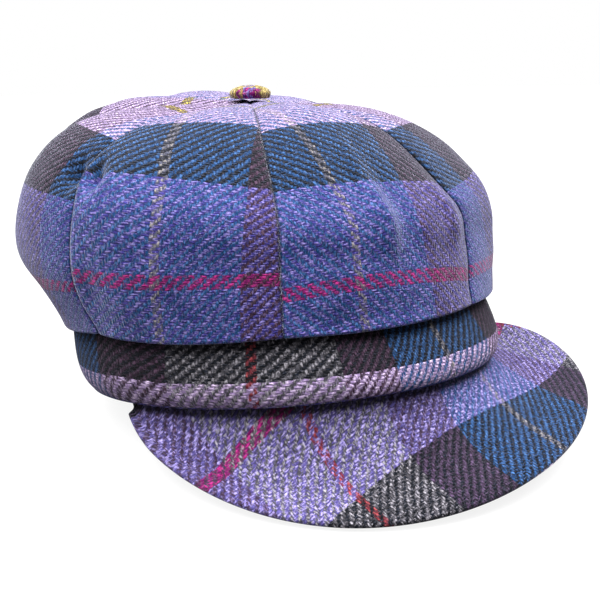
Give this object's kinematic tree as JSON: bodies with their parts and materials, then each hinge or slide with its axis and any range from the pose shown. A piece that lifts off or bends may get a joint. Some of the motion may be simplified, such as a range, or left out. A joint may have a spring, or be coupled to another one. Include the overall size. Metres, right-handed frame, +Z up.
{
  "type": "baker boy cap",
  "caption": "Soft baker boy cap in checked tweed: a puffed panelled crown on a deep band, with a covered button and a stiff down-curved peak.",
  "frame": {"origin": "under the middle of the whole cap, on the surface that it rests on", "axes": "+Z up, -Y towards the front of the peak, +X towards the wearer's left"},
  "size_m": [0.2132, 0.2716, 0.1429],
  "materials": {
    "crown_tweed": "wool twill tweed, blue, lilac and teal check",
    "band_tweed": "wool twill tweed, dark stripe over a pink edge",
    "peak_tweed": "wool twill tweed, purple, lilac and dark check",
    "peak_lining": "plain navy cloth",
    "button_tweed": "wool tweed over a button mould"
  },
  "bodies": {
    "root": {"crown_panel_1": "crown_tweed", "crown_panel_2": "crown_tweed", "crown_panel_3": "crown_tweed", "crown_panel_4": "crown_tweed", "crown_panel_5": "crown_tweed", "crown_panel_6": "crown_tweed", "crown_panel_7": "crown_tweed", "crown_panel_8": "crown_tweed", "band": "band_tweed", "peak_top": "peak_tweed", "peak_under": "peak_lining", "top_button": "button_tweed"}
  },
  "joints": []
}
